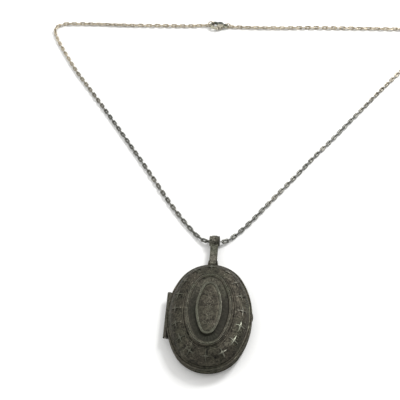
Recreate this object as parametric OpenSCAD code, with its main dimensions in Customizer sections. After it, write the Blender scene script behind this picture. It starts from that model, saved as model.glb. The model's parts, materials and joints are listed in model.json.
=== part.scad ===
// Oval photo locket with a stepped front cover, hinged bail, cable chain and lobster clasp.
// Origin: centre of the flat oval panel on the back. +X right, +Y towards the bail, +Z out of the front.

/* [Case] */
// Half width of the case across its rims
case_a = 14.65; // [14:0.05:16]
// Half height of the case
case_b = 20.15; // [18.5:0.05:21]
// Radius of the outline's top and bottom arcs
case_end_r = 12.5; // [12:0.1:12.8]
// Height of the plane where the two halves part
split_z = 3.4; // [3.2:0.05:3.6]
// Height of each rim band
rim_h = 1.7; // [1.6:0.05:1.8]
// Seam left between the closed rims
seam = 0.05; // [0.03:0.01:0.1]
// Wall of the two domed shells
shell_t = 0.45; // [0.35:0.05:0.6]
// Step of the flat panel below the back dome
panel_t = 0.4; // [0.3:0.05:0.5]

/* [Front cover] */
// Half width of the raised middle tier
tier_a = 8.2; // [7.5:0.05:8.4]
// Half height of the raised middle tier
tier_b = 13.8; // [12.6:0.1:14]
// Height of the dome from the rim to the tier
dome_h = 4; // [3.2:0.1:4.2]
// Half width of the raised centre plate
plate_a = 4.35; // [4.2:0.05:4.8]
// Half height of the raised centre plate
plate_b = 9.8; // [8.8:0.1:10]
// Number of stars around the dome
star_count = 16; // [8:4:16]
// Reach of a star's arm from its centre
star_r = 2.05; // [1.6:0.05:2.2]

/* [Hinge] */
// Length of the barrel hinge
hinge_l = 17.2; // [15:0.2:18]
// Radius of a knuckle
knuckle_r = 0.8; // [0.75:0.05:0.85]
// Radius of the hinge pin
hinge_pin_r = 0.35; // [0.3:0.05:0.4]
// Radial clearance of every running fit
run_gap = 0.06; // [0.04:0.01:0.08]

/* [Bail] */
// Width of the chain eye
eye_w = 3.8; // [3.4:0.1:4]
// Outer radius of the chain eye
eye_r = 1.9; // [1.85:0.05:1.95]
// Bore radius of the chain eye
eye_bore_r = 1.4; // [1.35:0.05:1.45]
// Width of the strap between the eye and the case
strap_w = 2.8; // [2.4:0.1:3]
// Thickness of the strap
strap_t = 1.1; // [1:0.05:1.3]

/* [Chain] */
// Outer diameter of the chain
chain_d = 1.9; // [1.7:0.1:1.9]
// Wire radius of the two end rings
ring_wire_r = 0.25; // [0.22:0.01:0.26]

/* [Clasp] */
// Thickness of the clasp's body
clasp_t = 1.8; // [1.7:0.1:1.9]
// Outer radius of the claw
claw_r = 2.3; // [2.2:0.05:2.35]
// Radius of the opening in the claw
claw_hole_r = 1.5; // [1.45:0.05:1.55]

/* [Hidden] */

silver = [0.30, 0.29, 0.26];
dark_silver = [0.24, 0.23, 0.20];
bright_silver = [0.62, 0.61, 0.56];
chain_silver = [0.45, 0.43, 0.39];
photo_paper = [0.72, 0.66, 0.55];
clear_glass = [0.80, 0.88, 0.90, 0.4];

outline_points = 72;
eps = 0.01;

// An oval is [half width, half height, end radius]: four arcs that meet smoothly.
case_oval = [case_a, case_b, case_end_r];
tier_oval = [tier_a, tier_b, 6.2];
plate_oval = [plate_a, plate_b, 2.6];
back_panel_oval = [10.2, 15.5, 8.5];

// Rims and the seats inside them, as distances in from the case's outline
back_wall = 1.1;
front_wall = 0.95;
lip_wall = 0.55;
ledge_in = 2.75;
ledge_t = 0.5;
lip_rise = 0.6;
lip_z = 2.2;
frame_in = 3.15;
back_seat_in = back_wall + lip_wall;
front_seat_in = 2.05;
front_frame_in = 1.85;
front_rim_z = split_z + seam;
front_top_z = split_z + rim_h;
back_low_z = split_z - rim_h;
dome_edge_in = 1;
back_edge_in = 0.5;
glass_t = 0.5;
photo_t = 0.2;
bezel_t = 0.4;

// Stack of plates on the front dome
dome_top_z = front_top_z + dome_h;
tier_floor_z = dome_top_z + 0.25;
tier_top_z = dome_top_z + 0.8;
tier_edge_w = 0.9;
plate_top_z = tier_floor_z + 0.75;
border_w = 0.75;
border_h = 0.35;
field_t = 0.15;

// Stars: a ring part of the way up the dome
star_ring = 0.43;
star_waist_r = 0.42;
star_t = 0.4;
star_sink = 0.15;

// Hinge axis, and the ends of each knuckle along it
hinge_x = -(case_a - 0.3);
knuckle_gap = 0.1;
back_spans = [[-hinge_l / 2, -5.2], [-1.65, 1.65], [5.2, hinge_l / 2]];
front_spans = [[-5.1, -1.75], [1.75, 5.1]];
hinge_relief_x = hinge_x + 0.1;

// Bail: its lower pin on the case and its chain eye
lug_y = case_b + 1.45;
lug_z = 3.2;
lug_r = 1.1;
ear_gap = 1.05;
ear_t = 0.6;
bail_pin_r = 0.35;
eye_y = 32.2;
eye_z = 2.2;
bail_len = sqrt(pow(eye_y - lug_y, 2) + pow(eye_z - lug_z, 2));
bail_slope = atan2(eye_z - lug_z, eye_y - lug_y);

// Chain routes by hand, from the bail's eye to the two halves of the clasp
chain_r = chain_d / 2;
chain_sides = 8;
chain_rings = 38;
left_route = [
    [0, 32.2, 2], [-2, 32.2, 1.9], [-4.5, 33.2, 1.4], [-7.5, 36, 1], [-10.5, 39.5, 1],
    [-14, 44, 1], [-19, 51, 1], [-24.5, 59.5, 1], [-30, 68, 1], [-36, 77, 1],
    [-42, 86, 1], [-48.5, 95.5, 1], [-55, 105, 1], [-62, 115, 1], [-69, 125, 1],
    [-75.5, 135.5, 1], [-81, 145, 1], [-84, 151, 1], [-85, 155, 1], [-84, 157.5, 1],
    [-81.5, 159, 1], [-77, 159.5, 1], [-64, 159.5, 1], [-49, 159, 1], [-34, 159, 1],
    [-20.5, 159, 1], [-14.5, 159.5, 1], [-10.55, 159.75, 1]];
right_route = [
    [0, 32.2, 2], [2, 32.2, 1.9], [4.5, 33.2, 1.4], [7.5, 36, 1], [11, 40, 1],
    [14.5, 44.5, 1], [20, 52, 1], [26, 60, 1], [32, 68, 1], [38.5, 77, 1],
    [45.5, 86, 1], [52.5, 95.5, 1], [60, 105.5, 1], [67.5, 115.5, 1], [76, 126.5, 1],
    [84.5, 137.5, 1], [92, 147.5, 1], [96, 152.5, 1], [98.5, 155.5, 1], [99.5, 158, 1],
    [99, 160.5, 1], [97, 162, 1], [94, 162, 1], [88.5, 160.5, 1], [80, 159, 1],
    [67.5, 159, 1], [54, 159, 1], [39, 159, 1], [24.5, 158.5, 1], [10.5, 158.5, 1],
    [0.65, 158.8, 1]];

// Clasp: its own origin, then places measured from it
clasp_at = [-4.9, 158.8, 0];
clasp_z = 1.4;
claw_at = [-2.3, 0.1];
claw_t = 1.3;
pivot_at = [0.3, -0.75];
tail_at = [2.9, 0];
tail_r = 1.15;
tail_bore_r = 0.62;
tail_t = 0.9;
nose_reach = 3.65;
trigger_reach = 3.5;
trigger_t = 1;
slot_t = 1.1;
hub_r = 0.85;
clasp_pin_r = 0.3;
spring_well_r = 0.62;
clasp_ring_r = 1.4;
clasp_ring_at = [-4, 0.95, clasp_ring_r + ring_wire_r];
tail_ring_r = 1.2;
tail_ring_at = [tail_at[0] + tail_ring_r, 0, tail_ring_r + ring_wire_r];

// ---- Outlines -------------------------------------------------------------------------

function inset(o, d) = [o[0] - d, o[1] - d, o[2] - d];
function mix(p, q, f) = p + (q - p) * f;
function end_offset(o) = o[1] - o[2];
function side_offset(o) =
    (pow(end_offset(o), 2) - pow(o[0] - o[2], 2)) / (2 * (o[0] - o[2]));
function side_r(o) = o[0] + side_offset(o);
function join_angle(o) = atan2(end_offset(o), side_offset(o));

// Point of an oval whose outward normal points along angle t, from 0 to 360
function oval_point(o, t) =
    let (j = join_angle(o), s = side_r(o), c = side_offset(o), e = end_offset(o))
    t <= j || t >= 360 - j ? [s * cos(t) - c, s * sin(t)]
    : t < 180 - j ? [o[2] * cos(t), o[2] * sin(t) + e]
    : t <= 180 + j ? [s * cos(t) + c, s * sin(t)]
    : [o[2] * cos(t), o[2] * sin(t) - e];

function oval_points(o) =
    [for (i = [0 : outline_points - 1]) oval_point(o, i * 360 / outline_points)];

// Normal angle at a fraction f of a quarter's length, counted from the oval's side
function quarter_angle(o, f) =
    let (j = join_angle(o), side = side_r(o) * j, end = o[2] * (90 - j), run = f * (side + end))
    run <= side ? run / side_r(o) : j + (run - side) / o[2];

// Normal angle of the i-th of n places spread evenly around an oval
function even_angle(o, i, n) =
    let (q = n / 4, k = floor(i / q), f = (i - k * q) / q)
    k % 2 == 0 ? k * 90 + quarter_angle(o, f) : (k + 1) * 90 - quarter_angle(o, 1 - f);

module oval_plate(o, z0, z1) {
    translate([0, 0, z0])
        linear_extrude(z1 - z0)
            polygon(oval_points(o));
}

module oval_band(o, width, z0, z1) {
    translate([0, 0, z0])
        linear_extrude(z1 - z0)
            difference() {
                polygon(oval_points(o));
                polygon(oval_points(inset(o, width)));
            }
}

// ---- Shells ---------------------------------------------------------------------------

function ring_3d(o, z) = [for (p = oval_points(o)) [p[0], p[1], z]];

// Skin through a list of rings that all have n points, closed at both ends
module skin(rings) {
    n = len(rings[0]);
    m = len(rings);
    first_cap = [for (i = [0 : n - 1]) i];
    last_cap = [for (i = [n - 1 : -1 : 0]) (m - 1) * n + i];
    sides = [for (r = [0 : m - 2], i = [0 : n - 1])
        let (a = r * n + i, b = r * n + (i + 1) % n)
        each [[a, a + n, b + n], [a, b + n, b]]];
    polyhedron(
        points = [for (r = rings) each r],
        faces = concat([first_cap], sides, [last_cap]),
        convexity = 6);
}

// Quarter-ellipse dome from an edge oval up to a flat top, hollow below
module dome(edge, top, z0, rise) {
    steps = 8;
    outer = [for (k = [0 : steps])
        let (u = 90 * k / steps) ring_3d(mix(edge, top, 1 - cos(u)), z0 + rise * sin(u))];
    inner = [for (k = [steps : -1 : 0])
        let (u = 90 * k / steps)
        ring_3d(inset(mix(edge, top, 1 - cos(u)), shell_t), z0 + (rise - shell_t) * sin(u))];
    skin(concat(inner, outer));
}

module back_shell() {
    color(silver) {
        mirror([0, 0, 1])
            dome(inset(case_oval, back_edge_in), back_panel_oval,
                 -back_low_z, back_low_z - panel_t);
        oval_plate(inset(back_panel_oval, 0.3), 0, panel_t + 0.1);
    }
}

module front_shell() {
    color(silver)
        dome(inset(case_oval, dome_edge_in), tier_oval, front_top_z, dome_h);
}

// ---- Rims, lip and frames -------------------------------------------------------------

// Cylinder along the hinge axis over one span
module hinge_rod(r, span) {
    translate([hinge_x, span[0], split_z])
        rotate([-90, 0, 0])
            cylinder(r = r, h = span[1] - span[0], $fn = 48);
}

// Everything that a rim gives up to the hinge: its own knuckles fit, the others clear
module hinge_relief(own, other) {
    reach = hinge_l / 2 + knuckle_gap;
    for (s = own)
        hinge_rod(knuckle_r, s);
    for (s = other)
        hinge_rod(knuckle_r + knuckle_gap, [s[0] - knuckle_gap, s[1] + knuckle_gap]);
    translate([-case_a - 1, -reach, 0])
        cube([case_a + 1 + hinge_relief_x, 2 * reach, dome_top_z]);
}

module back_rim() {
    color(silver)
        difference() {
            union() {
                oval_band(case_oval, back_wall, back_low_z, split_z);
                oval_band(inset(case_oval, back_wall - eps), ledge_in - back_wall,
                          back_low_z, back_low_z + ledge_t);
            }
            hinge_relief(back_spans, front_spans);
        }
}

module catch_lip() {
    color(bright_silver)
        difference() {
            oval_band(inset(case_oval, back_wall), lip_wall, lip_z, split_z + lip_rise);
            hinge_rod(knuckle_r + knuckle_gap, [-hinge_l / 2 - 1, hinge_l / 2 + 1]);
        }
}

module back_bezel() {
    z0 = lip_z + photo_t + glass_t;
    color(bright_silver)
        oval_band(inset(case_oval, back_seat_in), frame_in - back_seat_in, z0, z0 + bezel_t);
}

module back_glass() {
    z0 = lip_z + photo_t;
    color(clear_glass)
        oval_plate(inset(case_oval, back_seat_in), z0, z0 + glass_t);
}

module back_photo() {
    color(photo_paper)
        oval_plate(inset(case_oval, back_seat_in), lip_z, lip_z + photo_t);
}

module front_rim() {
    color(silver)
        difference() {
            union() {
                oval_band(case_oval, front_wall, front_rim_z, front_top_z);
                oval_band(inset(case_oval, front_wall - eps), ledge_in - front_wall,
                          front_top_z - ledge_t, front_top_z);
            }
            hinge_relief(front_spans, back_spans);
        }
}

// Stepped frame: a flange against the rim, a wall around the glass and a face around the view
module front_bezel() {
    photo_z = front_top_z - ledge_t;
    face_z = photo_z - photo_t - glass_t;
    color(bright_silver) {
        oval_band(inset(case_oval, front_wall), front_seat_in - front_wall,
                  photo_z - ledge_t, photo_z);
        oval_band(inset(case_oval, front_frame_in), front_seat_in - front_frame_in,
                  face_z - eps, photo_z);
        oval_band(inset(case_oval, front_frame_in), frame_in - front_frame_in,
                  face_z - bezel_t, face_z);
    }
}

module front_glass() {
    z1 = front_top_z - ledge_t - photo_t;
    color(clear_glass)
        oval_plate(inset(case_oval, front_seat_in), z1 - glass_t, z1);
}

module front_photo() {
    z1 = front_top_z - ledge_t;
    color(photo_paper)
        oval_plate(inset(case_oval, front_seat_in), z1 - photo_t, z1);
}

// Lens-shaped lip on the opening side
module thumb_tab() {
    tab_r = 4;
    tab_out = 0.3;
    color(silver)
        difference() {
            translate([case_a + tab_out - tab_r, 0, front_rim_z + 0.15])
                cylinder(r = tab_r, h = 0.9, $fn = 64);
            oval_plate(case_oval, 0, dome_top_z);
        }
}

// ---- Front decoration -----------------------------------------------------------------

module front_tier() {
    color(silver) {
        oval_plate(tier_oval, dome_top_z, tier_floor_z);
        oval_band(tier_oval, tier_edge_w, tier_floor_z - eps, tier_top_z);
    }
}

module centre_plate() {
    color(silver) {
        oval_plate(plate_oval, tier_floor_z, plate_top_z);
        oval_plate(inset(plate_oval, border_w + 0.2), plate_top_z - eps, plate_top_z + field_t);
    }
}

module centre_border() {
    color(bright_silver)
        oval_band(plate_oval, border_w, plate_top_z, plate_top_z + border_h);
}

module star_outline() {
    polygon([for (i = [0 : 7])
        let (r = i % 2 == 0 ? star_r : star_waist_r) [r * cos(45 * i), r * sin(45 * i)]]);
}

module star_studs() {
    edge = inset(case_oval, dome_edge_in);
    ring = mix(edge, tier_oval, star_ring);
    u = acos(1 - star_ring);
    z = front_top_z + dome_h * sin(u);
    slope = atan(dome_h * cos(u) / ((edge[0] - tier_oval[0]) * sin(u)));
    color(bright_silver)
        for (i = [0 : star_count - 1]) {
            t = even_angle(ring, i, star_count);
            p = oval_point(ring, t);
            translate([p[0], p[1], z])
                rotate([0, slope, t])
                    translate([0, 0, -star_sink])
                        linear_extrude(star_t)
                            star_outline();
        }
}

// ---- Hinge ----------------------------------------------------------------------------

// Knuckles on one side of the split, each with a leaf that fills the gap to its curved rim
module knuckles(spans, bore_r, leaf_z) {
    leaf_w = 2.5;
    difference() {
        for (s = spans) {
            hinge_rod(knuckle_r, s);
            difference() {
                translate([hinge_x, s[0], leaf_z])
                    cube([leaf_w, s[1] - s[0], knuckle_r - seam]);
                oval_plate(case_oval, 0, dome_top_z);
            }
        }
        hinge_rod(bore_r, [-hinge_l, hinge_l]);
    }
}

module back_knuckles() {
    color(dark_silver)
        knuckles(back_spans, hinge_pin_r, split_z - knuckle_r);
}

module front_knuckles() {
    color(dark_silver)
        knuckles(front_spans, hinge_pin_r + run_gap, front_rim_z);
}

module hinge_pin() {
    color(bright_silver)
        hinge_rod(hinge_pin_r, [-hinge_l / 2 - 0.15, hinge_l / 2 + 0.15]);
}

// ---- Bail -----------------------------------------------------------------------------

// Cylinder along X, centred
module cross_rod(r, w) {
    rotate([0, 90, 0])
        cylinder(r = r, h = w, center = true, $fn = 48);
}

module bail_lug() {
    reach = ear_gap + ear_t;
    color(silver)
        difference() {
            union() {
                for (side = [-1, 1])
                    translate([side * (ear_gap + ear_t / 2), lug_y, lug_z])
                        cross_rod(lug_r, ear_t);
                for (side = [-1, 1])
                    translate([side * (ear_gap + ear_t / 2) - ear_t / 2, case_b - 0.6, lug_z - lug_r])
                        cube([ear_t, lug_y - case_b + 0.6, lug_r]);
                translate([-reach, case_b - 0.6, lug_z - lug_r])
                    cube([2 * reach, 0.95, lug_r]);
            }
            oval_plate(case_oval, 0, split_z);
            translate([0, lug_y, lug_z])
                cross_rod(bail_pin_r, 4 * reach);
        }
}

module bail_pin() {
    color(bright_silver)
        translate([0, lug_y, lug_z]) {
            cross_rod(bail_pin_r, 2 * (ear_gap + ear_t) + 0.1);
            for (side = [-1, 1])
                translate([side * (ear_gap + ear_t + 0.1), 0, 0])
                    cross_rod(bail_pin_r + 0.2, 0.2);
        }
}

// One cast loop: eye on the lug pin, strap, and the wide eye that runs on the chain
module bail_loop() {
    foot_r = 1;
    foot_w = 2 * ear_gap - 0.2;
    band_r = eye_r + 0.2;
    color(silver)
        translate([0, lug_y, lug_z])
            rotate([bail_slope, 0, 0])
                difference() {
                    union() {
                        cross_rod(foot_r, foot_w);
                        translate([-foot_w / 2, 0, -strap_t / 2])
                            cube([foot_w, 2.2, strap_t]);
                        translate([-strap_w / 2, 1.6, -strap_t / 2])
                            cube([strap_w, bail_len - 1.6 - eye_bore_r, strap_t]);
                        translate([0, bail_len, 0]) {
                            cross_rod(eye_r, eye_w);
                            cross_rod(band_r, eye_w * 0.5);
                            rotate([35, 0, 0])
                                translate([0, 0, band_r - 0.25])
                                    sphere(r = 0.6, $fn = 24);
                        }
                    }
                    cross_rod(bail_pin_r + run_gap, 2 * foot_w);
                    translate([0, bail_len, 0])
                        cross_rod(eye_bore_r, 2 * eye_w);
                }
}

// ---- Chain ----------------------------------------------------------------------------

// Catmull-Rom curve through a route, at parameter s counted in spans
function route_at(route, s) =
    let (
        last = len(route) - 1,
        i = min(floor(s), last - 1),
        f = s - i,
        b = route[i],
        c = route[i + 1],
        a = i > 0 ? route[i - 1] : 2 * b - c,
        d = i < last - 1 ? route[i + 2] : 2 * c - b)
    0.5 * (2 * b + (c - a) * f + (2 * a - 5 * b + 4 * c - d) * f * f
        + (3 * b - a - 3 * c + d) * f * f * f);

function unit(v) = v / norm(v);

// Ring of points around the curve, square to it
function tube_ring(route, s) =
    let (
        last = len(route) - 1,
        h = 0.02,
        p = route_at(route, s),
        along = unit(route_at(route, min(s + h, last)) - route_at(route, max(s - h, 0))),
        side = unit(cross([0, 0, 1], along)),
        up = cross(along, side))
    [for (k = [0 : chain_sides - 1])
        let (t = 360 * (k + 0.5) / chain_sides) p + chain_r * (side * cos(t) + up * sin(t))];

module chain_tube(route) {
    last = len(route) - 1;
    skin([for (k = [0 : chain_rings - 1]) tube_ring(route, last * k / (chain_rings - 1))]);
}

module chain_left() {
    color(chain_silver)
        chain_tube(left_route);
}

module chain_right() {
    color(chain_silver)
        chain_tube(right_route);
}

module wire_ring(r) {
    rotate([90, 0, 0])
        rotate_extrude($fn = 48)
            translate([r, 0])
                circle(r = ring_wire_r, $fn = 24);
}

module clasp_ring() {
    color(chain_silver)
        translate(clasp_at + clasp_ring_at)
            wire_ring(clasp_ring_r);
}

module tail_ring() {
    color(chain_silver)
        translate(clasp_at + tail_ring_at)
            wire_ring(tail_ring_r);
}

// ---- Clasp ----------------------------------------------------------------------------

// Slab of a plane outline, centred on the clasp's middle height
module slab(t) {
    translate([0, 0, clasp_z - t / 2])
        linear_extrude(t)
            children();
}

module disc(at, r) {
    translate(at)
        circle(r = r, $fn = 64);
}

// Pie slice of the claw's ring between two angles
module claw_sector(from, to) {
    reach = 4;
    mid = (from + to) / 2;
    intersection() {
        difference() {
            disc(claw_at, claw_r);
            disc(claw_at, claw_hole_r);
        }
        translate(claw_at)
            polygon([[0, 0], reach * [cos(from), sin(from)],
                     2 * reach * [cos((from + mid) / 2), sin((from + mid) / 2)],
                     2 * reach * [cos((to + mid) / 2), sin((to + mid) / 2)],
                     reach * [cos(to), sin(to)]]);
    }
}

module clasp_body() {
    color(dark_silver)
        translate(clasp_at)
            difference() {
                union() {
                    slab(claw_t) {
                        claw_sector(0, 130);
                        difference() {
                            claw_sector(120, 246);
                            disc(pivot_at, nose_reach);
                        }
                    }
                    slab(clasp_t)
                        difference() {
                            disc([0.2, 0.05], 1.9);
                            disc(claw_at, claw_hole_r);
                        }
                    slab(tail_t)
                        disc(tail_at, tail_r);
                }
                slab(slot_t)
                    polygon([[-2.6, -3], [1.2, -3], [1.4, -0.75], [1.2, 0.1], [0.6, 0.35],
                             [-0.4, 0.35], [-1.2, 0.05], [-2.6, -0.4]]);
                slab(2 * clasp_t)
                    disc(pivot_at, clasp_pin_r);
                slab(2 * clasp_t)
                    disc(tail_at, tail_bore_r);
            }
}

module clasp_pin() {
    color(bright_silver)
        translate(clasp_at)
            slab(clasp_t)
                disc(pivot_at, clasp_pin_r);
}

// Two turns of spring wire in the trigger's well, around the pin
module clasp_spring() {
    coil_r = (clasp_pin_r + spring_well_r) / 2;
    wire_r = 0.09;
    color(bright_silver)
        translate(clasp_at + [pivot_at[0], pivot_at[1], clasp_z + 0.2])
            for (turn = [0, 1])
                translate([0, 0, turn * 2 * wire_r])
                    rotate_extrude($fn = 32)
                        translate([coil_r, 0])
                            circle(r = wire_r, $fn = 16);
}

module clasp_trigger() {
    color(dark_silver)
        translate(clasp_at)
            difference() {
                slab(trigger_t)
                    intersection() {
                        union() {
                            claw_sector(225, 346);
                            disc(pivot_at, hub_r);
                            disc([-1, -2.1], 0.55);
                        }
                        disc(pivot_at, trigger_reach);
                    }
                slab(2 * trigger_t)
                    disc(pivot_at, clasp_pin_r + run_gap);
                translate([0, 0, clasp_z])
                    linear_extrude(trigger_t)
                        disc(pivot_at, spring_well_r);
            }
}

back_shell();
back_rim();
catch_lip();
back_knuckles();
hinge_pin();
back_bezel();
back_glass();
back_photo();
bail_lug();
bail_pin();
front_rim();
front_shell();
front_tier();
centre_plate();
centre_border();
star_studs();
front_knuckles();
front_bezel();
front_glass();
front_photo();
thumb_tab();
bail_loop();
chain_left();
chain_right();
clasp_ring();
tail_ring();
clasp_body();
clasp_pin();
clasp_spring();
clasp_trigger();
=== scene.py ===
"""Oval photo locket on a cable chain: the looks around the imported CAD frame."""
import json
import math

import bmesh
import bpy
import numpy as np
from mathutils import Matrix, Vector, noise


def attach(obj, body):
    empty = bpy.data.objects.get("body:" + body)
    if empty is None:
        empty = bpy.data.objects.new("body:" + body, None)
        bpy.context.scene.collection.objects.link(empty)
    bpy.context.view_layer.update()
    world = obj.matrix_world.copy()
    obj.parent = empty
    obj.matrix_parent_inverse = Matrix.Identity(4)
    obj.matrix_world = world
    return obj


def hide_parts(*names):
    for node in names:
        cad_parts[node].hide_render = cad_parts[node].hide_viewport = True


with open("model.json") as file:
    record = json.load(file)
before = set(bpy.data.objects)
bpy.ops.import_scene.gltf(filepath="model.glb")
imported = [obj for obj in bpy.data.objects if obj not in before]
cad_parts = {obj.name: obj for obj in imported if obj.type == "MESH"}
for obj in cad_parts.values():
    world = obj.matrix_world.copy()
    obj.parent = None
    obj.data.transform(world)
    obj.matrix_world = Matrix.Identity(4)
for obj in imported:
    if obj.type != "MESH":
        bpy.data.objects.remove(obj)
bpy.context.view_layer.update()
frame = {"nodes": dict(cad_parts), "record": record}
nodes = frame["nodes"]
scene = bpy.context.scene

MM = 0.001
TAU = 2 * math.pi

# The CAD's own measures, in millimetres. An oval is (half width, half height, end radius).
# Names with Z, TOP or FLOOR are heights above the table. WALL and LEDGE_IN are how far
# inside the case's oval the rims reach. STAR_RING is how far the stars' ring lies from the
# dome's edge oval towards the tier's.
CASE = np.array([14.65, 20.15, 12.5])
TIER = np.array([8.2, 13.8, 6.2])
PLATE = np.array([4.35, 9.8, 2.6])
PANEL = np.array([10.2, 15.5, 8.5])
DOME_EDGE = CASE - 1.0
BACK_EDGE = CASE - 0.5
SHELL_T = 0.45
FRONT_Z0, FRONT_Z1 = 3.45, 5.1
BACK_Z0, BACK_Z1 = 1.7, 3.4
PANEL_Z = 0.4
FRONT_WALL, BACK_WALL = 0.95, 1.1
LEDGE_IN, LEDGE_T = 2.75, 0.5
DOME_H = 4.0
DOME_TOP = 9.1
TIER_FLOOR = 9.35
TIER_TOP = 9.9
PLATE_TOP = 10.1
STAR_RING = 0.43
STAR_COUNT = 16
HINGE_X, HINGE_Z, HINGE_HALF = -14.35, 3.4, 8.7
KNUCKLE_CLEAR_R = 0.9
BACK_SPANS = [(-8.6, -5.2), (-1.65, 1.65), (5.2, 8.6)]
FRONT_SPANS = [(-5.1, -1.75), (1.75, 5.1)]

# Detail that only this script adds, in millimetres.
STIPPLE = 0.75
FLUTES, FLUTE_H = 44, 0.045
STEM_HALF = 6.6
WELD_DIST = 0.002
CAD_BEVEL = 0.06

# In degrees: an edge that turns by more than this stays sharp, on formed and on cut pieces.
# The bevels on CAD pieces start at CUT_EDGE too.
FORMED_EDGE, CUT_EDGE = 60, 40

# The chain: its outer width, its links, and the CAD's two routes.
LINK_L, LINK_W = 3.15, 1.72
SIDE_WIRE, END_WIRE, WIRE_T = 0.78, 0.52, 0.42
PITCH = 2.05
LEFT_ROUTE = [
    (0, 32.2, 2), (-2, 32.2, 1.9), (-4.5, 33.2, 1.4), (-7.5, 36, 1), (-10.5, 39.5, 1),
    (-14, 44, 1), (-19, 51, 1), (-24.5, 59.5, 1), (-30, 68, 1), (-36, 77, 1),
    (-42, 86, 1), (-48.5, 95.5, 1), (-55, 105, 1), (-62, 115, 1), (-69, 125, 1),
    (-75.5, 135.5, 1), (-81, 145, 1), (-84, 151, 1), (-85, 155, 1), (-84, 157.5, 1),
    (-81.5, 159, 1), (-77, 159.5, 1), (-64, 159.5, 1), (-49, 159, 1), (-34, 159, 1),
    (-20.5, 159, 1), (-14.5, 159.5, 1), (-10.55, 159.75, 1)]
RIGHT_ROUTE = [
    (0, 32.2, 2), (2, 32.2, 1.9), (4.5, 33.2, 1.4), (7.5, 36, 1), (11, 40, 1),
    (14.5, 44.5, 1), (20, 52, 1), (26, 60, 1), (32, 68, 1), (38.5, 77, 1),
    (45.5, 86, 1), (52.5, 95.5, 1), (60, 105.5, 1), (67.5, 115.5, 1), (76, 126.5, 1),
    (84.5, 137.5, 1), (92, 147.5, 1), (96, 152.5, 1), (98.5, 155.5, 1), (99.5, 158, 1),
    (99, 160.5, 1), (97, 162, 1), (94, 162, 1), (88.5, 160.5, 1), (80, 159, 1),
    (67.5, 159, 1), (54, 159, 1), (39, 159, 1), (24.5, 158.5, 1), (10.5, 158.5, 1),
    (0.65, 158.8, 1)]


# ---- Camera -------------------------------------------------------------------------------

def make_camera():
    """The photograph's view, from past the locket's lower end and 52 degrees down."""
    data = bpy.data.cameras.new("camera")
    data.lens, data.sensor_width = 63, 36
    data.clip_start, data.clip_end = 0.01, 20
    camera = bpy.data.objects.new("camera", data)
    camera.location = Vector((13.1, -114.97, 216.51)) * MM
    camera.rotation_euler = [math.radians(a) for a in (37.95, 2.2, 4.01)]
    scene.collection.objects.link(camera)
    scene.camera = camera


# ---- Materials ----------------------------------------------------------------------------

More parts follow.
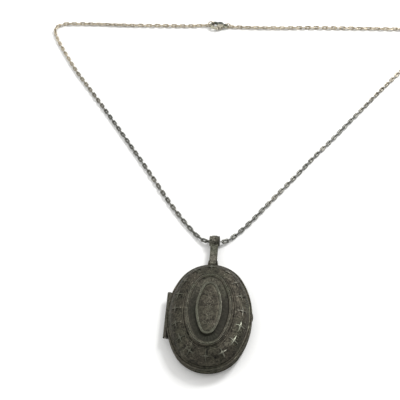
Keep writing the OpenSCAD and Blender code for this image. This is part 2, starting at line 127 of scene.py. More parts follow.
class Shader:
    """A node material around one Principled shader."""

    def __init__(self, name, metallic, roughness=0.4):
        self.material = bpy.data.materials.new(name)
        self.material.use_nodes = True
        self.tree = self.material.node_tree
        self.shader = self.tree.nodes["Principled BSDF"]
        self.shader.inputs["Metallic"].default_value = metallic
        self.shader.inputs["Roughness"].default_value = roughness
        self.coords = self.tree.nodes.new("ShaderNodeTexCoord").outputs["Object"]

    def link(self, a, b):
        self.tree.links.new(a, b)

    def noise(self, scale, detail=4, roughness=0.6, stretch=None):
        """Smooth noise; scale is about how many lumps lie along a metre."""
        n = self.tree.nodes.new("ShaderNodeTexNoise")
        n.inputs["Scale"].default_value = scale
        n.inputs["Detail"].default_value = detail
        n.inputs["Roughness"].default_value = roughness
        source = self.coords
        if stretch:
            m = self.tree.nodes.new("ShaderNodeMapping")
            m.inputs["Scale"].default_value = stretch
            self.link(source, m.inputs["Vector"])
            source = m.outputs["Vector"]
        self.link(source, n.inputs["Vector"])
        return n.outputs["Fac"]

    def remap(self, value, low, high, to_low=0.0, to_high=1.0):
        """Carries low to high over to a new range, and stops at its ends."""
        n = self.tree.nodes.new("ShaderNodeMapRange")
        for key, x in (("From Min", low), ("From Max", high), ("To Min", to_low),
                       ("To Max", to_high)):
            n.inputs[key].default_value = x
        self.link(value, n.inputs["Value"])
        return n.outputs["Result"]

    def edges(self, low=0.51, high=0.58):
        """1 on ridges, 0 on flats and in recesses."""
        g = self.tree.nodes.new("ShaderNodeNewGeometry")
        return self.remap(g.outputs["Pointiness"], low, high)

    def pits(self, low=0.42, high=0.495):
        """1 in recesses, 0 on flats and ridges."""
        g = self.tree.nodes.new("ShaderNodeNewGeometry")
        return self.remap(g.outputs["Pointiness"], low, high, 1.0, 0.0)

    def math(self, kind, a, b):
        """Adds, subtracts or multiplies sockets or numbers. The result stays in 0 to 1."""
        n = self.tree.nodes.new("ShaderNodeMath")
        n.operation, n.use_clamp = kind, True
        for socket, x in zip(n.inputs, (a, b)):
            if isinstance(x, (int, float)):
                socket.default_value = x
            else:
                self.link(x, socket)
        return n.outputs[0]

    def mix(self, factor, a, b):
        """From colour a at factor 0 to colour b at factor 1."""
        n = self.tree.nodes.new("ShaderNodeMix")
        n.data_type = "RGBA"
        self.link(factor, n.inputs["Factor"])
        for key, x in (("A", a), ("B", b)):
            socket = next(s for s in n.inputs if s.name == key and s.type == "RGBA")
            if isinstance(x, tuple):
                socket.default_value = (*x, 1)
            else:
                self.link(x, socket)
        return next(s for s in n.outputs if s.type == "RGBA")

    def along(self, direction):
        """How far a point lies along a direction, in metres."""
        n = self.tree.nodes.new("ShaderNodeVectorMath")
        n.operation = "DOT_PRODUCT"
        n.inputs[1].default_value = direction
        self.link(self.coords, n.inputs[0])
        return n.outputs["Value"]

    def tinted(self, factor, colour, tint):
        """The colour multiplied by a tint, as far as factor says."""
        n = self.tree.nodes.new("ShaderNodeMix")
        n.data_type, n.blend_type = "RGBA", "MULTIPLY"
        a, b = (x for x in n.inputs if x.type == "RGBA")
        b.default_value = (*tint, 1)
        self.link(factor, n.inputs["Factor"])
        self.link(colour, a)
        return next(x for x in n.outputs if x.type == "RGBA")

    def bump(self, height, strength, distance):
        """Relief too fine to model. distance is its depth in millimetres."""
        n = self.tree.nodes.new("ShaderNodeBump")
        n.inputs["Strength"].default_value = strength
        n.inputs["Distance"].default_value = distance * MM
        self.link(height, n.inputs["Height"])
        self.link(n.outputs["Normal"], self.shader.inputs["Normal"])

    def base(self, colour):
        self.link(colour, self.shader.inputs["Base Color"])

    def rough(self, value):
        self.link(value, self.shader.inputs["Roughness"])


def tarnished_silver(name, dark, mid, light, rough=(0.42, 0.66), wear=0.8, edge=(0.51, 0.58),
                     side_tone=None, grime=0.85):
    """Silver with brown-black tarnish in patches, oxide in its recesses and rubbed ridges.

    dark and mid are the two tones of the tarnish, and light is the metal on rubbed ridges.
    wear says how bare the ridges are, edge is the range of Pointiness over which a ridge
    starts, and grime says how black the recesses are. side_tone is (direction, (low, high)
    in mm, colour): that colour covers what lies before low along the direction, and it
    fades out by high. On the recess floor it is painted shade, darker towards the bottom;
    on the stars it leaves a painted glint, pale only on the lower right."""
    s = Shader(name, 0.85)
    patches = s.remap(s.noise(520, 5, 0.62), 0.36, 0.64)
    grain = s.remap(s.noise(1700, 3, 0.7), 0.4, 0.62)
    tone = s.math("ADD", s.math("MULTIPLY", patches, 0.42), s.math("MULTIPLY", grain, 0.58))
    colour = s.mix(tone, dark, mid)
    rubbed = s.math("MULTIPLY", s.edges(*edge), s.remap(s.noise(900, 4, 0.6), 0.3, 0.6, 0.35, 1))
    colour = s.mix(s.math("MULTIPLY", rubbed, wear), colour, light)
    # Colour by side where a call asks for it: painted shade on the recess floor, a painted glint
    # on the stars.
    if side_tone:
        side = s.remap(s.along(side_tone[0]), *(x * MM for x in side_tone[1]))
        side = s.math("ADD", side, s.math("MULTIPLY", tone, 0.28))
        colour = s.mix(side, side_tone[2], colour)
    colour = s.tinted(s.remap(s.noise(170, 3, 0.5), 0.4, 0.6, 0, 0.5), colour, (0.82, 0.94, 0.84))
    black = tuple(0.3 * c for c in dark)
    colour = s.mix(s.math("MULTIPLY", s.pits(), grime), colour, black)
    s.base(colour)
    s.rough(s.math("SUBTRACT", s.remap(s.noise(1500, 4), 0.3, 0.7, rough[0], rough[1]),
                   s.math("MULTIPLY", rubbed, 0.1)))
    s.bump(s.noise(2200, 5, 0.7), 0.7, 0.05)
    return s.material


def chain_silver():
    """Grey by the bail; paler and warmer along the far side, a painted highlight."""
    s = Shader("chain_silver", 0.85)
    # Painted highlight: the chain turns paler from 100 mm to 146 mm along +y.
    far_highlight = s.math("ADD", s.remap(s.along((0, 1, 0)), 100 * MM, 146 * MM),
                   s.remap(s.noise(60, 3), 0.35, 0.65, -0.12, 0.12))
    grain = s.remap(s.noise(900, 4, 0.65), 0.36, 0.64)
    near = s.mix(grain, (0.07, 0.07, 0.062), (0.20, 0.20, 0.18))
    far = s.mix(grain, (0.26, 0.215, 0.155), (0.78, 0.70, 0.55))
    s.base(s.mix(far_highlight, near, far))
    s.rough(s.remap(s.noise(1800, 4), 0.3, 0.7, 0.24, 0.42))
    s.bump(s.noise(5000, 4, 0.6), 0.2, 0.02)
    return s.material


def clear_glass():
    """Thin flat cover; what is behind it shows through."""
    s = Shader("cover_glass", 0.0, 0.04)
    s.shader.inputs["Base Color"].default_value = (0.86, 0.92, 0.92, 1)
    s.shader.inputs["Alpha"].default_value = 0.14
    s.shader.inputs["IOR"].default_value = 1.5
    s.bump(s.noise(90, 2), 0.05, 0.05)
    return s.material


def aged_card():
    s = Shader("photo_card", 0.0, 0.85)
    fibres = s.remap(s.noise(2200, 5, 0.7, (1, 0.35, 1)), 0.35, 0.65)
    stains = s.remap(s.noise(120, 4, 0.6), 0.42, 0.68)
    paper = s.mix(fibres, (0.56, 0.49, 0.37), (0.66, 0.60, 0.47))
    s.base(s.mix(stains, paper, (0.47, 0.38, 0.25)))
    s.bump(s.noise(3000, 5, 0.7), 0.25, 0.03)
    return s.material


def make_materials():
    return {
        "case_silver": tarnished_silver(
            "case_silver", (0.004, 0.004, 0.003), (0.104, 0.092, 0.070), (0.17, 0.16, 0.125),
            (0.46, 0.7)),
        "barrel_silver": tarnished_silver(
            "barrel_silver", (0.010, 0.009, 0.007), (0.050, 0.043, 0.034), (0.12, 0.11, 0.09)),
        # Recess floor: painted shade, darker towards the bottom (-y) of the recess.
        "recess_silver": tarnished_silver(
            "recess_silver", (0.012, 0.011, 0.008), (0.125, 0.113, 0.089), (0.15, 0.14, 0.11),
            side_tone=((0, 1, 0), (1, 12), (0.022, 0.021, 0.016)), grime=0.25),
        # Bail: lighter on its left side, darker towards +x.
        "bail_silver": tarnished_silver(
            "bail_silver", (0.010, 0.009, 0.007), (0.250, 0.235, 0.190), (0.28, 0.27, 0.225),
            side_tone=((-1, 0, 0), (-1.4, 0.3), (0.050, 0.047, 0.036))),
        # Stars: pale only on the lower right, a painted glint; elsewhere a dark tone covers them.
        "star_silver": tarnished_silver(
            "star_silver", (0.15, 0.145, 0.12), (0.29, 0.28, 0.235), (0.38, 0.37, 0.31),
            (0.3, 0.46), 0.6, (0.5, 0.56), ((0.92, -0.39, 0), (9.8, 12.6), (0.066, 0.062, 0.049))),
        "border_silver": tarnished_silver(
            "border_silver", (0.055, 0.051, 0.040), (0.15, 0.143, 0.115), (0.26, 0.25, 0.20),
            (0.3, 0.5), 0.7, (0.51, 0.57)),
        "inner_silver": tarnished_silver(
            "inner_silver", (0.22, 0.20, 0.16), (0.50, 0.47, 0.40), (0.66, 0.63, 0.56),
            (0.24, 0.42), 0.6),
        "pin_silver": tarnished_silver(
            "pin_silver", (0.16, 0.15, 0.13), (0.36, 0.34, 0.30), (0.6, 0.58, 0.52),
            (0.26, 0.4), 0.7),
        # Clasp: darker and teal towards its far (+y) end.
        "clasp_silver": tarnished_silver(
            "clasp_silver", (0.26, 0.235, 0.18), (0.66, 0.61, 0.50), (0.78, 0.73, 0.62),
            (0.28, 0.45), 0.8, (0.51, 0.58),
            ((-0.2, -0.98, 0), (-155.5, -153.7), (0.035, 0.050, 0.052))),
        "chain_silver": chain_silver(),
        "cover_glass": clear_glass(),
        "photo_card": aged_card(),
    }


# ---- Mesh helpers -------------------------------------------------------------------------

def unit(v):
    return v / np.linalg.norm(v, axis=-1, keepdims=True)


def oval(shape, t):
    """Points of an oval where its outward normal is at angle t.

    Its sides are long arcs. They meet the round ends where the normal is at angle join."""
    half_w, half_h, end_r = shape
    end_y = half_h - end_r
    side_x = (end_y * end_y - (half_w - end_r) ** 2) / (2 * (half_w - end_r))
    side_r, join = half_w + side_x, math.atan2(end_y, side_x)
    t = np.mod(np.asarray(t, float), TAU)
    on_side = np.abs(np.mod(t + math.pi / 2, math.pi) - math.pi / 2) <= join
    x = np.where(on_side, side_r * np.cos(t) - side_x * np.sign(np.cos(t)), end_r * np.cos(t))
    y = np.where(on_side, side_r * np.sin(t), end_r * np.sin(t) + end_y * np.sign(np.sin(t)))
    return np.stack([x, y], -1)


def even_angles(shape, count):
    """Normal angles of so many places, spread evenly around an oval."""
    t = np.linspace(0, TAU, 4097)
    steps = np.linalg.norm(np.diff(oval(shape, t), axis=0), axis=1)
    run = np.concatenate([[0], np.cumsum(steps)])
    return np.interp(np.arange(count) * run[-1] / count, run, t)


def ring(shape, t, z, inset=0.0):
    """Points at a distance inside an oval, at height z."""
    out = np.stack([np.cos(t), np.sin(t)], -1)
    p = oval(shape, t) - np.broadcast_to(inset, t.shape)[:, None] * out
    return np.column_stack([p, np.broadcast_to(z, t.shape)])


def grid_faces(m, n, loop):
    """Quads between m rings of n points each; the last ring joins the first if loop."""
    i = np.arange(m if loop else m - 1)[:, None]
    k = np.arange(n)[None, :]
    j, l = (i + 1) % m, (k + 1) % n
    return np.stack([i * n + k, i * n + l, j * n + l, j * n + k], -1).reshape(-1, 4).tolist()


def lofted(rings, loop=False):
    """Vertices and faces through rings of equal count. Open ends close on a centre point."""
    m, n = len(rings), len(rings[0])
    verts = np.concatenate(rings)
    faces = grid_faces(m, n, loop)
    if not loop:
        verts = np.concatenate([verts, [rings[0].mean(0), rings[-1].mean(0)]])
        first, last, base = m * n, m * n + 1, (m - 1) * n
        faces += [[first, (k + 1) % n, k] for k in range(n)]
        faces += [[last, base + k, base + (k + 1) % n] for k in range(n)]
    return verts, faces


def rounded(corners, steps=3):
    """A closed outline whose corners, given as (inset, z, radius), are rounded."""
    out = []
    for i, (x, z, r) in enumerate(corners):
        p = np.array([x, z])
        if not r:
            out.append(p)
            continue
        a = unit(np.array(corners[i - 1][:2]) - p)
        b = unit(np.array(corners[(i + 1) % len(corners)][:2]) - p)
        half = math.acos(np.clip(a @ b, -1, 1)) / 2
        centre = p + unit(a + b) * r / math.sin(half)
        cut, sweep = r / math.tan(half), math.pi - 2 * half
        start, end = p + a * cut, p + b * cut
        out.append(start + a * r * 0.5)
        for k in range(steps + 1):
            f = k / steps
            turn = ((start - centre) * math.sin((1 - f) * sweep)
                    + (end - centre) * math.sin(f * sweep)) / math.sin(sweep)
            out.append(centre + turn)
        out.append(end + b * r * 0.5)
    return np.array(out)


def arc(inset, z, radius, start, stop, steps=6):
    """Points of a bead in a rim's section; angle 0 faces outward and 90 up."""
    angles = np.radians(np.linspace(start, stop, steps + 1))
    return [(inset - radius * math.cos(a), z + radius * math.sin(a)) for a in angles]


def banded(shape, outline, count):
    """A closed section (inset, z) swept around an oval."""
    t = even_angles(shape, count)
    return lofted([ring(shape, t, z, inset) for inset, z in outline], loop=True)


def joined(parts):
    """One mesh from several (vertices, faces)."""
    verts, faces, base = [], [], 0
    for v, f in parts:
        verts.append(v)
        faces += [[i + base for i in face] for face in f]
        base += len(v)
    return np.concatenate(verts), faces


def copies(part, spins, places):
    """Copies of one small mesh, each turned by its 3x3 matrix and moved to its place."""
    verts, faces = part
    made = np.einsum("kij,vj->kvi", spins, verts) + places[:, None]
    n = len(verts)
    return (made.reshape(-1, 3),
            [[i + k * n for i in face] for k in range(len(places)) for face in faces])


def ball(radius, flat=1.0):
    """A small faceted grain, flattened to flat times its height."""
    bm = bmesh.new()
    bmesh.ops.create_icosphere(bm, subdivisions=2, radius=radius)
    verts = np.array([v.co for v in bm.verts]) * (1, 1, flat)
    faces = [[v.index for v in f.verts] for f in bm.faces]
    bm.free()
    return verts, faces


def bead_row(shape, inset, z, radius, pitch):
    """Round grains side by side around an oval."""
    inner = shape - inset
    t = np.linspace(0, TAU, 721)
    length = np.linalg.norm(np.diff(oval(inner, t), axis=0), axis=1).sum()
    t = even_angles(inner, int(length / pitch))
    places = ring(inner, t, z)
    return copies(ball(radius), np.tile(np.eye(3), (len(t), 1, 1)), places)


def tube(points, radii, sides=10):
    """A round wire along a line of points, with a radius at each."""
    points = np.asarray(points, float)
    along = unit(np.gradient(points, axis=0))
    side = unit(np.cross([0, 0, 1.0], along))
    up = np.cross(along, side)
    a = np.arange(sides) * TAU / sides
    r = np.broadcast_to(radii, len(points))[:, None, None]
    offset = side[:, None] * np.cos(a)[None, :, None] + up[:, None] * np.sin(a)[None, :, None]
    return lofted(list(points[:, None] + r * offset))


def finish_mesh(name, mesh, smooth):
    """A new object whose edges stay sharp where they turn by more than smooth degrees."""
    bm = bmesh.new()
    bm.from_mesh(mesh)
    bmesh.ops.recalc_face_normals(bm, faces=bm.faces)
    bm.to_mesh(mesh)
    bm.free()
    mesh.shade_smooth()
    if smooth < 180:
        mesh.set_sharp_from_angle(angle=math.radians(smooth))
    made = bpy.data.objects.new(name, mesh)
    scene.collection.objects.link(made)
    return made


def make_object(name, part, smooth=180):
    """A new object from (vertices in millimetres, faces)."""
    verts, faces = part
    mesh = bpy.data.meshes.new(name)
    mesh.from_pydata((np.asarray(verts) * MM).tolist(), [], faces)
    mesh.update()
    return finish_mesh(name, mesh, smooth)


def place(made, body, slot, *replaced, material=None):
    """Gives a new piece its material, and ties it to its body and its CAD nodes."""
    made.data.materials.clear()
    made.data.materials.append(materials[material or slot])
    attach(made, body)
    if replaced:
        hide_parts(*replaced)
    return made


def evaluated(made, name):
    """The object's mesh with its modifiers applied, as a new mesh."""
    bpy.context.view_layer.update()
    graph = bpy.context.evaluated_depsgraph_get()
    mesh = bpy.data.meshes.new_from_object(made.evaluated_get(graph))
    mesh.name = name
    return mesh


def cut(made, cutters):
    """Subtracts closed meshes from a new piece."""
    tool = make_object("cutter", joined(cutters))
    m = made.modifiers.new("cut", "BOOLEAN")
    m.operation, m.solver, m.object = "DIFFERENCE", "EXACT", tool
    m.use_self = True
    mesh = evaluated(made, made.name)
    name = made.name
    bpy.data.objects.remove(made)
    bpy.data.objects.remove(tool)
    return finish_mesh(name, mesh, CUT_EDGE)


def softened(node, voxel, rounds):
    """A copy of a CAD node with its edges rounded, as a casting's are. voxel is in mm."""
    made = bpy.data.objects.new(node + "_cast", nodes[node].data.copy())
    scene.collection.objects.link(made)
    weld = made.modifiers.new("weld", "WELD")
    weld.merge_threshold = WELD_DIST * MM
    remesh = made.modifiers.new("remesh", "REMESH")
    remesh.mode, remesh.voxel_size = "VOXEL", voxel * MM
    smooth = made.modifiers.new("smooth", "SMOOTH")
    smooth.factor, smooth.iterations = 0.5, rounds
    mesh = evaluated(made, node)
    bpy.data.objects.remove(made)
    return finish_mesh(node + "_cast", mesh, 180)


# ---- Chain --------------------------------------------------------------------------------

def route_curve(route, per_span=40):
    """The Catmull-Rom curve that the CAD tubes follow."""
    p = np.array(route, float)
    p = np.vstack([2 * p[0] - p[1], p, 2 * p[-1] - p[-2]])
    f = np.arange(per_span)[:, None] / per_span
    spans = [0.5 * (2 * b + (c - a) * f + (2 * a - 5 * b + 4 * c - d) * f ** 2
                    + (3 * b - a - 3 * c + d) * f ** 3)
             for a, b, c, d in zip(p, p[1:], p[2:], p[3:])]
    return np.vstack(spans + [p[-2:-1]])


def link_mesh(around=20, sides=8):
    """One oval link of rolled wire in the XY plane, long along X, slimmer at its ends."""
    turn_r, straight = LINK_W / 2, (LINK_L - LINK_W) / 2
    a = (np.arange(around) + 0.5) * TAU / around
    out = np.column_stack([np.cos(a), np.sin(a), np.zeros(around)])
    half_w = (END_WIRE + (SIDE_WIRE - END_WIRE) * np.abs(np.sin(a)))[:, None] / 2
    line = out * (turn_r - half_w)
    line[:, 0] += straight * np.sign(out[:, 0])
    up = np.array([0, 0, WIRE_T / 2])
    rings = [line + half_w * out * math.cos(x) + up * math.sin(x)
             for x in np.arange(sides) * TAU / sides]
    return lofted(rings, loop=True)


def make_run(name, route, first, node, lean, phase):
    """One run of cable chain: links turned a quarter from each other, lying on the table.

    first is the number of its first link, counted from the bail's eye. lean, in degrees,
    rolls the whole run, and phase shifts its slow twist."""
    twist, shiver, settle, half_step = 12, 5, 0.1, 0.3
    line = route_curve(route)
    line[:, 2] -= settle * np.clip(2 - line[:, 2], 0, 1)
    run = np.concatenate([[0], np.cumsum(np.linalg.norm(np.diff(line, axis=0), axis=1))])
    count = round(run[-1] / PITCH)
    k = np.arange(first, count + 1)
    middle = k * run[-1] / count
    at, ahead, back = (np.column_stack([np.interp(d, run, line[:, i]) for i in range(3)])
                       for d in (middle, middle + half_step, middle - half_step))
    x = unit(ahead - back)
    side = unit(np.cross([0, 0, 1.0], x))
    up = np.cross(x, side)
    roll = np.radians(lean + 90 * (k % 2) + twist * np.sin(k * 0.23 + phase)
                      + shiver * np.sin(k * 1.7))
    y = side * np.cos(roll)[:, None] + up * np.sin(roll)[:, None]
    z = np.cross(x, y)
    links = make_object(name, copies(link_mesh(), np.stack([x, y, z], -1), at))
    place(links, "chain", "chain_silver", node)
    return links, [tuple(p * MM) for p in line[::8]] + [tuple(line[-1] * MM)]


def make_chain(clasp_body, clasp_trigger):
    """Both runs, from the bail's eye to the two halves of the clasp."""
    left, left_line = make_run("chain_left_links", LEFT_ROUTE, 0, "chain_left", -13, 0.4)
    right, right_line = make_run("chain_right_links", RIGHT_ROUTE, 1, "chain_right", 20, 1.9)


# ---- Shells -------------------------------------------------------------------------------

def mix(p, q, f):
    return p + (q - p) * f


def bump_line(run, at, width, height):
    """Height of a rounded ridge, or groove if negative, across a section."""
    return height * np.exp(-((run - at) / width) ** 2)


def dome(edge, top, z0, rise, relief, n, m):
    """Quarter-ellipse shell as the CAD draws it, from an edge oval to a top oval.

    relief(distance from the edge, whole distance, angles) raises its face, which has m
    rings of n points. A negative rise makes a shell that hangs down."""
    t = even_angles(mix(edge, top, 0.4), n)
    u = np.linspace(0, math.pi / 2, m)
    reach = abs(edge[0] - top[0])
    run = np.concatenate([[0], np.cumsum(np.hypot(
        np.diff(reach * (1 - np.cos(u))), np.diff(abs(rise) * np.sin(u))))])
    rings = []
    out = np.column_stack([np.cos(t), np.sin(t), np.zeros(n)])
    for a, s in zip(u, run):
        flat = unit(np.array([abs(rise) * math.cos(a), reach * math.sin(a)]))
        normal = out * flat[0] + np.array([0, 0, math.copysign(flat[1], rise)])
        p = ring(mix(edge, top, 1 - math.cos(a)), t, z0 + rise * math.sin(a))
        rings.append(p + normal * np.broadcast_to(relief(s, run[-1], t), n)[:, None])
    inner = [ring(mix(edge, top, 1 - math.cos(a)) - SHELL_T, t,
                  z0 + (rise - math.copysign(SHELL_T, rise)) * math.sin(a))
             for a in np.linspace(math.pi / 2, 0, 12)]
    return lofted(inner + rings)


def dented(part, size, depth, seed):
    """Slow unevenness of a worn, thin pressing."""
    verts, faces = part
    shift = [noise.noise(Vector(v) * size + Vector((seed, 0, 0))) for v in verts]
    verts = verts.copy()
    verts[:, 2] += depth * np.array(shift)
    return verts, faces


def make_front_shell():
    """The dome: a ridge between two grooves at its edge and its top, and a stippled field."""
    around = mix(DOME_EDGE, TIER, 0.4)
    stipple_count = round(TAU * math.hypot(*around[:2]) / math.sqrt(2) / STIPPLE)

    def relief(s, total, t):
        h = bump_line(s, 0.35, 0.12, -0.07) + bump_line(s, 0.75, 0.2, 0.06)
        h += bump_line(s, 1.15, 0.12, -0.08)
        h += bump_line(s, total - 0.95, 0.11, -0.09) + bump_line(s, total - 0.62, 0.16, 0.07)
        h += bump_line(s, total - 0.25, 0.11, -0.08)
        field = math.exp(-((s - total * 0.5) / (total * 0.36)) ** 8)
        k = np.arange(len(t)) * stipple_count * TAU / len(t)
        across = s * TAU / STIPPLE
        return h - 0.05 * field * (0.5 + 0.5 * np.cos(k) * math.cos(across))

    part = dented(dome(DOME_EDGE, TIER, FRONT_Z1, DOME_H, relief, 860, 84), 0.35, 0.05, 3)
    made = make_object("front_shell_dome", part, FORMED_EDGE)
    place(made, "front_cover", "case_silver", "front_shell")


def make_back_shell():
    """The low dome below the rim, and the flat panel that the locket lies on."""
    def relief(s, total, t):
        return (bump_line(s, 1.3, 0.12, -0.07) + bump_line(s, 1.65, 0.12, -0.05)
                + bump_line(s, total - 0.5, 0.12, -0.05))

    shell = dome(BACK_EDGE, PANEL, BACK_Z0, PANEL_Z - BACK_Z0, relief, 300, 40)
    outline = rounded([(0.3, 0.5, 0), (0.3, 0.0, 0.12), (1.6, 0.0, 0)], 4)
    t = even_angles(PANEL, 300)
    panel = lofted([ring(PANEL, t, z, d) for d, z in outline]
                   + [ring(PANEL * 0.5, t, 0.0), ring(PANEL * 0.15, t, 0.0)])
    made = make_object("back_shell_dome", joined([shell, panel]), FORMED_EDGE)
    place(made, "back_case", "case_silver", "back_shell")


# ---- Rims ---------------------------------------------------------------------------------

def hinge_cutters(spans):
    """What a rim gives up to the other half's knuckles, and the flat behind the barrel."""
    a = np.arange(32) * TAU / 32
    circle = np.column_stack([HINGE_X + KNUCKLE_CLEAR_R * np.cos(a), 0 * a,
                              HINGE_Z + KNUCKLE_CLEAR_R * np.sin(a)])
    gap = 0.1
    parts = [lofted([circle + (0, low - gap, 0), circle + (0, high + gap, 0)])
             for low, high in spans]
    beyond, flat, above = -16.0, HINGE_X + 0.1, 9
    corners = np.array([(beyond, 0, 0), (flat, 0, 0), (flat, 0, above), (beyond, 0, above)],
                       float)
    parts.append(lofted([corners + (0, -HINGE_HALF, 0), corners + (0, HINGE_HALF, 0)]))
    return parts


def make_rims():
    """The two bands that meet at the seam, each with a bead, a fine thread and a roll."""
    front = ([(FRONT_WALL, FRONT_Z0), (0.3, FRONT_Z0), (0.12, FRONT_Z0)]
             + arc(0.2, 3.68, 0.2, -65, 70) + [(0.24, 3.95), (0.26, 4.05)]
             + arc(0.26, 4.2, 0.12, -60, 60, 4) + [(0.26, 4.35), (0.26, 4.45)]
             + arc(0.3, 4.8, 0.3, -62, 110, 9) + [(0.5, 5.0), (0.58, 4.99), (0.68, 5.02)]
             + [(0.74, FRONT_Z1 - 0.03), (0.85, FRONT_Z1), (LEDGE_IN, FRONT_Z1),
                (LEDGE_IN, FRONT_Z1 - LEDGE_T), (FRONT_WALL, FRONT_Z1 - LEDGE_T)])
    back = ([(BACK_WALL, BACK_Z1), (0.3, BACK_Z1), (0.12, BACK_Z1)]
            + arc(0.2, 3.16, 0.2, 65, -70) + [(0.24, 2.9), (0.26, 2.8)]
            + arc(0.26, 2.65, 0.12, 60, -60, 4) + [(0.26, 2.5), (0.26, 2.4)]
            + arc(0.28, 2.0, 0.28, 62, -100, 9)
            + [(0.5, BACK_Z0), (LEDGE_IN, BACK_Z0), (LEDGE_IN, BACK_Z0 + LEDGE_T),
               (BACK_WALL, BACK_Z0 + LEDGE_T)])
    for name, outline, spans, body, node in (
            ("front_rim_band", front, BACK_SPANS, "front_cover", "front_rim"),
            ("back_rim_band", back, FRONT_SPANS, "back_case", "back_rim")):
        band = make_object(name, banded(CASE, outline, 288))
        place(cut(band, hinge_cutters(spans)), body, "case_silver", node)


# ---- Front decoration ---------------------------------------------------------------------

def make_tier():
    """Raised edge with a milled bead row around a fluted recess."""
    n = 360
    t = even_angles(TIER, n)
    wall = [(0.0, DOME_TOP), (0.0, DOME_TOP + 0.12), (0.1, DOME_TOP + 0.2), (0.06, DOME_TOP + 0.3)]
    wall += [(0.22 - 0.22 * math.cos(a), TIER_TOP - 0.2 + 0.2 * math.sin(a))
             for a in np.radians(np.linspace(0, 100, 7))]
    wall += [(0.34, TIER_TOP - 0.02), (0.42, TIER_TOP - 0.12), (0.5, TIER_TOP - 0.14),
             (0.95, TIER_TOP - 0.14), (1.02, TIER_TOP - 0.1), (1.2, TIER_TOP - 0.08),
             (1.36, TIER_TOP - 0.16), (1.46, TIER_FLOOR + 0.06), (1.56, TIER_FLOOR + 0.02)]
    rings = [ring(TIER, t, DOME_TOP, 1.2)] + [ring(TIER, t, z, d) for d, z in wall]
    inner, outer = PLATE - 0.4, TIER - 1.6
    flute = 0.5 - 0.5 * np.cos(FLUTES * np.linspace(0, TAU, n, endpoint=False))
    for f in np.linspace(0, 1, 14):
        lift = FLUTE_H * math.sin(math.pi * min(1, 1.15 * f)) * flute
        rings.append(ring(mix(outer, inner, f), t, TIER_FLOOR - 0.02 + lift))
    made = make_object("front_tier_plate", lofted(rings), FORMED_EDGE)
    place(made, "front_cover", "case_silver", "front_tier")
    # The recess floor's faces take recess_silver, with its painted shade towards the bottom.
    made.data.materials.append(materials["recess_silver"])
    low = (TIER_TOP - 0.2) * MM
    for face in made.data.polygons:
        across = math.hypot(face.center.x / TIER[0], face.center.y / TIER[1])
        face.material_index = int(across < 0.9 * MM and face.center.z < low)
    grains = make_object("front_tier_beads", bead_row(TIER, 0.72, TIER_TOP - 0.12, 0.22, 0.47))
    place(grains, "front_cover", "star_silver", material="border_silver")


def scroll_wire(centre, start, turns, r0, r1, width):
    """A curl that winds in to its eye and thins out."""
    count = 26
    f = np.linspace(0, 1, count)
    a = start + turns * TAU * f
    r = r0 + (r1 - r0) * f ** 0.8
    line = np.column_stack([centre[0] + r * np.cos(a), centre[1] + r * np.sin(a),
                            np.full(count, PLATE_TOP + 0.17)])
    return tube(line, width * (1 - 0.5 * f), 8)


def make_centre_plate():
    """Domed field with low, worn foliate scrolls of a plain traditional kind."""
    t = even_angles(PLATE, 220)
    rings = [ring(PLATE, t, z, d) for d, z in (
        (0.0, TIER_FLOOR - 0.05), (0.0, TIER_FLOOR + 0.2), (0.1, TIER_FLOOR + 0.3),
        (0.0, TIER_FLOOR + 0.42), (0.08, PLATE_TOP - 0.02), (0.2, PLATE_TOP),
        (0.78, PLATE_TOP - 0.02), (0.92, PLATE_TOP + 0.06), (1.02, PLATE_TOP + 0.13))]
    for f in np.linspace(0.12, 0.96, 12):
        o = mix(PLATE - 1.0, np.array([0.02, 3.2, 0.01]), f)
        rings.append(ring(o, t, PLATE_TOP + 0.13 + 0.1 * math.sin(f * math.pi / 2)))
    parts = [lofted(rings)]
    y = np.linspace(-STEM_HALF, STEM_HALF, 40)
    stem = np.column_stack([0 * y, y, np.full(len(y), PLATE_TOP + 0.19)])
    parts.append(tube(stem, 0.17 - 0.015 * np.abs(y), 8))
    for at in (-5.6, -2.0, 2.0, 5.6):
        for side in (-1, 1):
            parts.append(scroll_wire((side * 1.05, at), math.pi * (side > 0), side * 1.2,
                                     0.85, 0.2, 0.15))
    petal, petals = ball(0.42, 0.32), 6
    angles = np.arange(petals) * TAU / petals
    spins = np.array([[[1.5 * math.cos(a), -0.6 * math.sin(a), 0],
                       [1.5 * math.sin(a), 0.6 * math.cos(a), 0], [0, 0, 1]] for a in angles])
    for cy in (-3.8, 0.0, 3.8):
        places = np.column_stack([0.7 * np.cos(angles), cy + 0.7 * np.sin(angles),
                                  np.full(petals, PLATE_TOP + 0.2)])
        parts.append(copies(petal, spins, places))
    made = make_object("centre_plate_field", joined(parts), FORMED_EDGE)
    place(made, "front_cover", "case_silver", "centre_plate")


def make_centre_border():
    """Grain-set wire around the centre plate."""
    outline = rounded([(0.0, PLATE_TOP - 0.02, 0), (0.0, PLATE_TOP + 0.2, 0.08),
                       (0.2, PLATE_TOP + 0.22, 0.05), (0.3, PLATE_TOP + 0.08, 0.04),
                       (0.5, PLATE_TOP + 0.08, 0.04), (0.6, PLATE_TOP + 0.22, 0.05),
                       (0.75, PLATE_TOP + 0.2, 0.05), (0.75, PLATE_TOP - 0.02, 0)], 3)
    wire = banded(PLATE, outline, 220)
    grains = bead_row(PLATE, 0.39, PLATE_TOP + 0.12, 0.19, 0.42)
    made = make_object("centre_border_wire", joined([wire, grains]), FORMED_EDGE)
    place(made, "front_cover", "star_silver", "centre_border", material="border_silver")


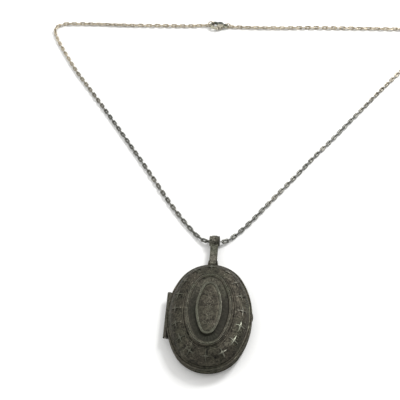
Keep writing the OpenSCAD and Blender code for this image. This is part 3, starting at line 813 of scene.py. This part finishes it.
def star_mesh():
    """Four long rays and four short ones, faceted to a low point in the middle.

    quarter holds (x, y, height) of the outline from one long ray to the next."""
    quarter = [(1.85, 0.07, 0.15), (0.9, 0.18, 0.27), (0.36, 0.21, 0.29), (0.38, 0.38, 0.22),
               (0.21, 0.36, 0.29), (0.18, 0.9, 0.27), (0.07, 1.85, 0.15)]
    outline, top = [], []
    for c, d in ((1, 0), (0, 1), (-1, 0), (0, -1)):
        outline += [(x * c - y * d, x * d + y * c) for x, y, _ in quarter]
        top += [z for _, _, z in quarter]
    outline, n, sunk, peak = np.array(outline), len(outline), -0.16, 0.31
    verts = np.vstack([
        np.column_stack([outline * 1.03, np.full(n, sunk)]),
        np.column_stack([outline, np.array(top) - 0.08]),
        np.column_stack([outline * 0.94, top]), [[0, 0, sunk], [0, 0, peak]]])
    faces = grid_faces(3, n, False)
    faces += [[3 * n, (k + 1) % n, k] for k in range(n)]
    faces += [[3 * n + 1, 2 * n + k, 2 * n + (k + 1) % n] for k in range(n)]
    return verts, faces


def make_stars():
    """A ring of stars, each bent to lie on the dome."""
    around = mix(DOME_EDGE, TIER, STAR_RING)
    u, reach = math.acos(1 - STAR_RING), DOME_EDGE[0] - TIER[0]
    z = FRONT_Z1 + DOME_H * math.sin(u)
    slope = math.atan(DOME_H * math.cos(u) / (reach * math.sin(u)))
    bend = reach * DOME_H / math.hypot(reach * math.sin(u), DOME_H * math.cos(u)) ** 3
    star, faces = star_mesh()
    star[:, 2] -= bend / 2 * star[:, 0] ** 2 + math.sin(slope) / around[0] / 2 * star[:, 1] ** 2
    t = even_angles(around, STAR_COUNT)
    places = ring(around, t, z)
    spins = []
    for a in t:
        out = np.array([math.cos(a), math.sin(a), 0])
        x = out * math.cos(slope) - np.array([0, 0, math.sin(slope)])
        up = out * math.sin(slope) + np.array([0, 0, math.cos(slope)])
        spins.append(np.column_stack([x, np.cross(up, x), up]))
    made = make_object("star_studs_cut", copies((star, faces), np.array(spins), places),
                       smooth=12)
    place(made, "front_cover", "star_silver", "star_studs")


# ---- CAD nodes that stay ------------------------------------------------------------------

def dress_cad():
    """A material for every CAD node still shown, and soft edges but on chain and card."""
    slots = {p["node"]: p["material_slot"] for p in frame["record"]["subparts"]}
    for name, node in nodes.items():
        if node.hide_render:
            continue
        node.data.materials.clear()
        finish = "barrel_silver" if name.endswith("_knuckles") else slots[name]
        node.data.materials.append(materials[finish])
        node.data.shade_smooth()
        weld = node.modifiers.new("weld", "WELD")
        weld.merge_threshold = WELD_DIST * MM
        if slots[name] not in ("chain_silver", "photo_card"):
            bevel = node.modifiers.new("bevel", "BEVEL")
            bevel.width, bevel.segments = CAD_BEVEL * MM, 2
            bevel.limit_method, bevel.angle_limit = "ANGLE", math.radians(CUT_EDGE)
        node.modifiers.new("normals", "WEIGHTED_NORMAL")


# ---- Stage --------------------------------------------------------------------------------

def make_floor():
    """A white sheet 6 m across, far past the view."""
    mesh = bpy.data.meshes.new("floor")
    half = 3.0
    mesh.from_pydata([(-half, -half, 0), (half, -half, 0), (half, half, 0), (-half, half, 0)],
                     [], [(0, 1, 2, 3)])
    floor = bpy.data.objects.new("floor", mesh)
    scene.collection.objects.link(floor)
    s = Shader("floor_white", 0.0, 0.7)
    paper = s.remap(s.noise(14, 3), 0.3, 0.7)
    s.base(s.mix(paper, (0.90, 0.90, 0.895), (0.93, 0.93, 0.925)))
    mesh.materials.append(s.material)


def add_light(name, towards, size, power):
    """A square lamp in a direction from a point just past the bail, and facing it."""
    distance, target = 0.7, Vector((0, 0.04, 0))
    data = bpy.data.lights.new(name, "AREA")
    data.energy = power
    data.size = size
    lamp = bpy.data.objects.new(name, data)
    direction = Vector(towards).normalized()
    lamp.location = direction * distance + target
    lamp.rotation_euler = direction.to_track_quat("Z", "Y").to_euler()
    scene.collection.objects.link(lamp)


def make_light():
    """A white studio, brighter from the far left, with two lamps on the right."""
    world = bpy.data.worlds.new("studio")
    world.use_nodes = True
    tree = world.node_tree
    back = tree.nodes["Background"]
    coords = tree.nodes.new("ShaderNodeTexCoord")
    facing = tree.nodes.new("ShaderNodeVectorMath")
    facing.operation = "DOT_PRODUCT"
    facing.inputs[1].default_value = Vector((-0.85, 0.42, 0.65)).normalized()
    tree.links.new(coords.outputs["Generated"], facing.inputs[0])
    ramp = tree.nodes.new("ShaderNodeMapRange")
    for key, x in (("From Min", -0.5), ("From Max", 1), ("To Min", 0.45), ("To Max", 1.15)):
        ramp.inputs[key].default_value = x
    tree.links.new(facing.outputs["Value"], ramp.inputs["Value"])
    tree.links.new(ramp.outputs["Result"], back.inputs["Strength"])
    back.inputs["Color"].default_value = (1, 1, 0.99, 1)
    scene.world = world
    add_light("key", (0.42, 0.50, 0.74), 0.2, 2.8)
    add_light("glint", (0.69, 0.12, 0.69), 0.06, 0.3)
    scene.view_settings.view_transform = "Standard"


# ---- Build --------------------------------------------------------------------------------

make_camera()
materials = make_materials()
make_chain(place(softened("clasp_body", 0.06, 4), "chain", "clasp_silver", "clasp_body"),
           place(softened("clasp_trigger", 0.05, 3), "clasp_lever", "clasp_silver",
                 "clasp_trigger"))
make_front_shell()
make_back_shell()
make_rims()
make_tier()
make_centre_plate()
make_centre_border()
make_stars()
place(softened("bail_loop", 0.07, 5), "bail", "case_silver", "bail_loop",
      material="bail_silver")
place(softened("bail_lug", 0.06, 4), "back_case", "case_silver", "bail_lug")
place(softened("thumb_tab", 0.05, 4), "front_cover", "case_silver", "thumb_tab")
dress_cad()
make_floor()
make_light()
